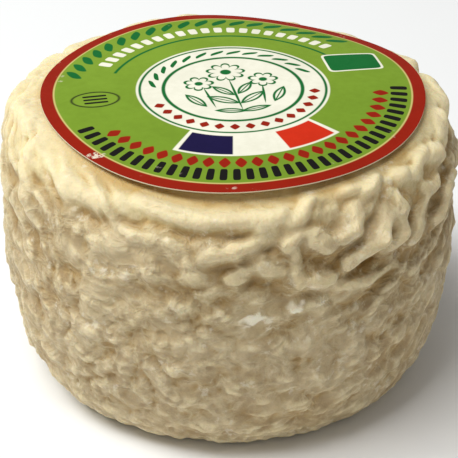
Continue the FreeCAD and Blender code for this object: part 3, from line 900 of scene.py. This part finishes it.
label_turns = np.linspace(0, 2 * math.pi, LABEL_SIDES, endpoint=False)
ring_shares = np.linspace(0, 1, LABEL_RINGS + 1)[1:] ** 0.8
face_points = []
for share in ring_shares:
    ring_reach = share * label_radius * JUST_INSIDE
    places = [(label_middle.x + ring_reach * math.cos(turn),
               label_middle.y + ring_reach * math.sin(turn)) for turn in label_turns]
    face_points.append([(x, y, paper_height(x, y)) for x, y in places])
face_points = np.array(face_points)
under_points = face_points[::-1] - np.array([0, 0, PAPER])
centre_high = (label_middle.x, label_middle.y, paper_height(label_middle.x, label_middle.y))
centre_low = (centre_high[0], centre_high[1], centre_high[2] - PAPER)
label_mesh = ring_mesh("paper_label", np.concatenate([face_points, under_points]),
                       centre_high, centre_low)
print("label has", len(label_mesh.polygons), "faces")

# %% [markdown]
# The print is laid out on the disc, so the disc's own coordinates are stored as a UV map:
# the middle is 0, the edge is 1 away, and the whole print is turned a little, as the
# label was stuck on by hand. The cut edge is kept sharp, because paper has no round edge.

# %% Label coordinates and edge
print_map = label_mesh.uv_layers.new(name="print")
corner_points = np.zeros(len(label_mesh.loops), np.int32)
label_mesh.loops.foreach_get("vertex_index", corner_points)
label_places = np.zeros(len(label_mesh.vertices) * 3)
label_mesh.vertices.foreach_get("co", label_places)
label_places = label_places.reshape(-1, 3)[corner_points]
disc_x = (label_places[:, 0] - label_middle.x) / label_radius
disc_y = (label_places[:, 1] - label_middle.y) / label_radius
turned_x = disc_x * math.cos(PRINT_TURN) + disc_y * math.sin(PRINT_TURN)
turned_y = disc_y * math.cos(PRINT_TURN) - disc_x * math.sin(PRINT_TURN)
print_map.data.foreach_set("uv", np.stack([turned_x, turned_y], -1).ravel())

for edge in label_mesh.edges:
    rings = {corner // LABEL_SIDES for corner in edge.vertices}
    if rings == {LABEL_RINGS - 1} or rings == {LABEL_RINGS}:
        edge.use_edge_sharp = True
label = placed("paper_label", label_mesh)
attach(label, "root")
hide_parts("label")
print("label mapped")

# %% [markdown]
# ## Tools of the printer
#
# The design is a plain one of the kind that farm cheeses carry: rings, rows of small
# marks, a few leaves and a sprig. Drawing it with formulas keeps it sharp at any size and
# needs no image. Each kind of mark is a node group that gives a mask. The first two are
# a ring and a sector, which is part of the circle.

# %% Groups: ring and sector
SHARP, SHARP_TURN = 0.004, 0.006
wiring, given, wanted = new_group("ring_band", {"Radius": 0.0, "Inner": 0.0, "Outer": 1.0},
                                  ["Mask"])
inside = wiring.ramp(given["Radius"] - given["Inner"], -SHARP, SHARP)
outside = wiring.ramp(given["Outer"] - given["Radius"], -SHARP, SHARP)
wiring.feed(wanted["Mask"], inside * outside)
ring_group = wiring.tree

wiring, given, wanted = new_group("sector", {"Angle": 0.0, "Middle": 0.0, "Half": 1.0},
                                  ["Mask"])
away = wiring.math("WRAP", given["Angle"] - given["Middle"], math.pi, -math.pi)
wiring.feed(wanted["Mask"], wiring.ramp(given["Half"] - abs(away), -SHARP_TURN, SHARP_TURN))
sector_group = wiring.tree
print("groups", ring_group.name, sector_group.name)

# %% [markdown]
# A row of marks cuts the circle into equal cells and draws one mark in each. The power
# decides its shape: 1 is a lozenge, 2 an oval, and a high power is nearly a bar. A row
# starts and ends with a whole mark, as a printer would set it.

# %% Group: row of marks
wiring, given, wanted = new_group(
    "mark_row", {"Radius": 0.0, "Angle": 0.0, "Centre": 0.8, "Tall": 0.04, "Count": 40.0,
                 "Wide": 0.6, "Power": 1.0, "Slant": 0.0, "First": 0.0, "Last": 40.0},
    ["Mask"])
off_ring = (given["Radius"] - given["Centre"]) / given["Tall"]
leaning = given["Angle"] * (given["Count"] / (2 * math.pi)) + off_ring * given["Slant"]
in_cell = wiring.math("FRACT", leaning) * 2.0 - 1.0
across = (abs(in_cell) / given["Wide"]) ** given["Power"]
mark = wiring.ramp(across + abs(off_ring) ** given["Power"], 1.12, 0.88)
cell = wiring.math("FLOOR", leaning) + 0.5
in_row = (wiring.math("GREATER_THAN", cell, given["First"])
          * wiring.math("LESS_THAN", cell, given["Last"]))
wiring.feed(wanted["Mask"], mark * in_row)
row_group = wiring.tree
print("group", row_group.name)

# %% [markdown]
# Leaf, flower and box each have a middle of their own, so one helper opens their groups.
# A leaf is two arcs that meet in points, with a rib. It also does for a stem.

# %% Group: leaf
SHARP_LINE = 0.002


def new_mark(name, inputs, outputs):
    """A group that starts with how far right of its middle and above it a point is."""
    middle = {"Across": 0.0, "Up": 0.0, "Middle X": 0.0, "Middle Y": 0.0}
    wiring, given, wanted = new_group(name, {**middle, **inputs}, outputs)
    return (wiring, given, wanted, given["Across"] - given["Middle X"],
            given["Up"] - given["Middle Y"])


wiring, given, wanted, right, above = new_mark(
    "leaf", {"Turn": 0.0, "Long": 0.1, "Wide": 0.03}, ["Fill", "Line"])
cosine, sine = wiring.math("COSINE", given["Turn"]), wiring.math("SINE", given["Turn"])
share = (right * cosine + above * sine) / given["Long"]
aside = abs(above * cosine - right * sine)
gap = given["Wide"] * (1.0 - share * share) - aside
fill = wiring.ramp(gap, -SHARP_LINE, SHARP_LINE)
outline = wiring.ramp(abs(gap), 0.010, 0.004)
rib = wiring.ramp(aside, 0.006, 0.002) * fill
wiring.feed(wanted["Fill"], fill)
wiring.feed(wanted["Line"], wiring.math("MAXIMUM", outline, rib))
leaf_group = wiring.tree
print("group", leaf_group.name)

# %% [markdown]
# A flower is a circle whose edge swings in and out once a petal, with a dark heart. A box
# is the same sum of powers as a mark in a row: power 2 gives an oval, 10 a plate.

# %% Groups: flower and box
wiring, given, wanted, right, above = new_mark(
    "flower", {"Size": 0.06, "Petals": 8.0}, ["Fill", "Line"])
far = wiring.math("SQRT", right * right + above * above)
turn = wiring.math("ARCTAN2", above, right)
petal = abs(wiring.math("COSINE", turn * (given["Petals"] * 0.5)))
gap = given["Size"] * (0.55 + wiring.math("SQRT", petal) * 0.45) - far
outline = wiring.ramp(abs(gap), 0.011, 0.005)
heart = wiring.ramp(far - given["Size"] * 0.3, 0.004, -0.004)
wiring.feed(wanted["Fill"], wiring.ramp(gap, -SHARP_LINE, SHARP_LINE))
wiring.feed(wanted["Line"], wiring.math("MAXIMUM", outline, heart))
flower_group = wiring.tree

wiring, given, wanted, right, above = new_mark(
    "rounded_box", {"Half X": 0.1, "Half Y": 0.05, "Power": 6.0}, ["Fill"])
parts = [(abs(off) / given[half]) ** given["Power"]
         for off, half in ((right, "Half X"), (above, "Half Y"))]
wiring.feed(wanted["Fill"], wiring.ramp(parts[0] + parts[1], 1.15, 0.87))
box_group = wiring.tree
print("groups", flower_group.name, box_group.name)

# %% [markdown]
# ## Print the label
#
# A printer lays one ink over another, and so does this material: green first, then red,
# cream, dark green, blue and black, each through its own mask. The masks share the place
# on the disc: across, up, distance from the middle, and angle.

# %% Label print: field and border
RED, BRIGHT_RED, BLUE = paint(148, 27, 3), paint(206, 44, 14), paint(22, 14, 62)
GREEN, LOW_GREEN, DARK_GREEN = paint(126, 157, 46), paint(116, 147, 40), paint(12, 104, 44)
BLACK, STRAW, BARE_PAPER = paint(20, 18, 16), paint(210, 190, 120), paint(226, 214, 190)
MIDDLE, BORDER, OUTSIDE = -1.0, 0.933, 2.0

label_material, wiring, shader = new_material("printed_paper")
spot = wiring.add("ShaderNodeSeparateXYZ",
                  {"Vector": wiring.add("ShaderNodeUVMap", uv_map="print").outputs[0]})
across, up = wiring.flow(spot, "X"), wiring.flow(spot, "Y")
radius = wiring.math("SQRT", across * across + up * up)
angle = wiring.math("ARCTAN2", up, across)
place = wiring.add("ShaderNodeTexCoord").outputs["Object"]


def ring(inner, outer):
    return wiring.group(ring_group, Radius=radius, Inner=inner, Outer=outer)


ink = Coat(wiring, wiring.blend(wiring.ramp(up, -0.9, 0.9), LOW_GREEN, GREEN))
ink.lay(ring(BORDER, OUTSIDE), RED)
ink.lay(ring(0.926, 0.934), STRAW)
print("field and border printed")

# %% [markdown]
# Round the field go rows of bars, lozenges and slanted leaves. A table says where each
# row lies and how its marks look, and a thin line runs under the leaves.

# %% Label print: rows of marks
# Middle and height of the row, marks in a full round, width, power, degrees, slant, ink.
MARK_ROWS = [(0.862, 0.044, 84, 0.58, 5.0, 197, 352, 0.0, BLACK),
             (0.766, 0.042, 60, 0.74, 1.3, 203, 345, 0.0, RED),
             (0.856, 0.050, 54, 0.66, 1.5, 32, 158, 0.35, DARK_GREEN),
             (0.738, 0.036, 66, 0.64, 5.0, 33, 147, 0.0, CREAM)]


def sector(start, end):
    """Part of the circle between two angles in degrees, counted the usual way round."""
    middle, half = math.radians((start + end) / 2), math.radians((end - start) / 2)
    return wiring.group(sector_group, Angle=angle, Middle=middle, Half=half)


def mark_row(centre, tall, count, wide, power, start, end, slant=0.0):
    """Whole marks between two angles in degrees, both in the same half of the circle."""
    turn_back = 360 if end > 180 else 0
    first, last = (float(round((edge - turn_back) * count / 360)) for edge in (start, end))
    return wiring.group(row_group, Radius=radius, Angle=angle, Centre=centre, Tall=tall,
                        Count=float(count), Wide=wide, Power=power, Slant=slant,
                        First=first, Last=last)


for *row, row_ink in MARK_ROWS:
    ink.lay(mark_row(*row), row_ink)
ink.lay(ring(0.640, 0.656) * sector(28, 152), DARK_GREEN)
print(len(MARK_ROWS), "rows printed")

# %% [markdown]
# In the gaps stand a curved panel of three colours, a plain oval with three lines and a
# plain green plate. An outline is cheapest as a larger shape under a smaller one.

# %% Label print: panel and plates
for inner, outer, start, end, panel_ink in ((0.500, 0.708, 233, 307, CREAM),
                                            (0.520, 0.694, 235, 258, BLUE),
                                            (0.520, 0.694, 282, 305, BRIGHT_RED)):
    ink.lay(ring(inner, outer) * sector(start, end), panel_ink)

# Middle across and up, half width, half height, power, ink.
PLATES = [(-0.72, 0.020, 0.128, 0.088, 2.0, BLACK), (-0.72, 0.020, 0.117, 0.077, 2.0, GREEN),
          (-0.72, 0.056, 0.062, 0.009, 8.0, BLACK), (-0.72, 0.020, 0.062, 0.009, 8.0, BLACK),
          (-0.72, -0.016, 0.062, 0.009, 8.0, BLACK), (0.69, 0.19, 0.150, 0.112, 10.0, CREAM),
          (0.69, 0.19, 0.138, 0.100, 10.0, DARK_GREEN)]


def drawn(tree, middle_x, middle_y, sizes):
    """Place a leaf, flower or box; what it gives is masks."""
    middle = {"Across": across, "Up": up, "Middle X": middle_x, "Middle Y": middle_y}
    node = wiring.add("ShaderNodeGroup", {**middle, **sizes}, node_tree=tree)
    return {socket.name: Flow(wiring, socket) for socket in node.outputs}


def plate(middle_x, middle_y, half_x, half_y, power):
    sizes = {"Half X": half_x, "Half Y": half_y, "Power": power}
    return drawn(box_group, middle_x, middle_y, sizes)["Fill"]


for *box, plate_ink in PLATES:
    ink.lay(plate(*box), plate_ink)
print(len(PLATES), "plates printed")

# %% [markdown]
# The middle holds a pale medallion with two thin rings, and between them lozenges below
# and leaves above.

# %% Label print: medallion
ink.lay(ring(MIDDLE, 0.505), CREAM)
ink.lay(ring(0.478, 0.492), DARK_GREEN)
ink.lay(mark_row(0.425, 0.030, 34, 0.66, 1.2, 192, 348), RED)
ink.lay(mark_row(0.425, 0.026, 30, 0.60, 1.4, 14, 166, slant=0.4), DARK_GREEN)
ink.lay(ring(0.352, 0.372), DARK_GREEN)
print("medallion printed")

# %% [markdown]
# In the medallion grows a sprig in line work: three flowers on stems and some leaves. Each
# gives a fill, which hides what is behind it, and a line, which is inked.

# %% Label print: sprig
# Foot and head of each stem; middle, degrees, length and width of each leaf; middle,
# size and petals of each flower.
STEMS = [(0.0, -0.26, 0.0, 0.12), (-0.13, -0.20, -0.15, 0.04), (0.13, -0.20, 0.16, 0.02)]
STEM_WIDTH = 0.007
LEAVES = [(-0.075, -0.12, 145, 0.085, 0.026), (0.078, -0.12, 38, 0.085, 0.026),
          (-0.055, -0.02, 128, 0.070, 0.022), (0.060, -0.01, 52, 0.070, 0.022),
          (-0.215, -0.10, 118, 0.080, 0.024), (0.222, -0.11, 62, 0.080, 0.024),
          (-0.06, -0.245, 168, 0.075, 0.020), (0.07, -0.245, 12, 0.075, 0.020)]
FLOWERS = [(0.0, 0.19, 0.098, 9), (-0.165, 0.085, 0.074, 7), (0.175, 0.070, 0.074, 7)]

for foot_x, foot_y, head_x, head_y in STEMS:
    run_x, run_y = head_x - foot_x, head_y - foot_y
    stem = drawn(leaf_group, (foot_x + head_x) / 2, (foot_y + head_y) / 2,
                 {"Turn": math.atan2(run_y, run_x), "Long": math.hypot(run_x, run_y) / 2,
                  "Wide": STEM_WIDTH})
    ink.lay(stem["Fill"], DARK_GREEN)
for middle_x, middle_y, degrees, long, wide in LEAVES:
    leaf = drawn(leaf_group, middle_x, middle_y,
                 {"Turn": math.radians(degrees), "Long": long, "Wide": wide})
    ink.lay(leaf["Fill"], CREAM)
    ink.lay(leaf["Line"] * ring(MIDDLE, 0.35), DARK_GREEN)
for middle_x, middle_y, size, petals in FLOWERS:
    flower = drawn(flower_group, middle_x, middle_y, {"Size": size, "Petals": float(petals)})
    ink.lay(flower["Fill"], CREAM)
    ink.lay(flower["Line"], DARK_GREEN)
print("sprig printed")

# %% [markdown]
# Last come the marks of handling. The specks group, set coarse and rare, bares the paper
# near the border. The cut edge and the underside show the paper itself: they are told
# from the print by which way they face.

# %% Label finish: wear, paper edge and sheen
PAPER_SHADE = (0.90, 0.90, 0.88, 1)
tint = wiring.group(mottle_group, Place=place, Size=160.0)
ink.lay(tint, PAPER_SHADE, "MULTIPLY")
scuffs = wiring.group(specks_group, Place=place, Size=900.0, Share=0.16)
ink.lay(scuffs * ring(0.86, 1.1) * 0.5, BARE_PAPER)
worn_spot = plate(-0.80, -0.52, 0.050, 0.026, 2.0)
rubbed = wiring.group(mottle_group, Place=place, Size=900.0)
ink.lay(worn_spot * wiring.ramp(rubbed, 0.35, 0.75), BARE_PAPER)
facing = wiring.add("ShaderNodeSeparateXYZ",
                    {"Vector": wiring.add("ShaderNodeNewGeometry").outputs["True Normal"]})
ink.lay(wiring.ramp(facing.outputs["Z"], 0.5, 0.4), BARE_PAPER)
wiring.feed(shader.inputs["Base Color"], ink.colour)
wiring.feed(shader.inputs["Roughness"], 0.46 + tint * 0.10)
grain = wiring.noise(place, 1800.0, 3.0)
bump = wiring.add("ShaderNodeBump", {"Height": grain, "Strength": 0.10,
                                     "Distance": 0.05 * MM})
wiring.feed(shader.inputs["Normal"], bump.outputs[0])
shader.inputs["Specular IOR Level"].default_value = 0.12
label_mesh.materials.append(label_material)
print("label material has", len(label_material.node_tree.nodes), "nodes")
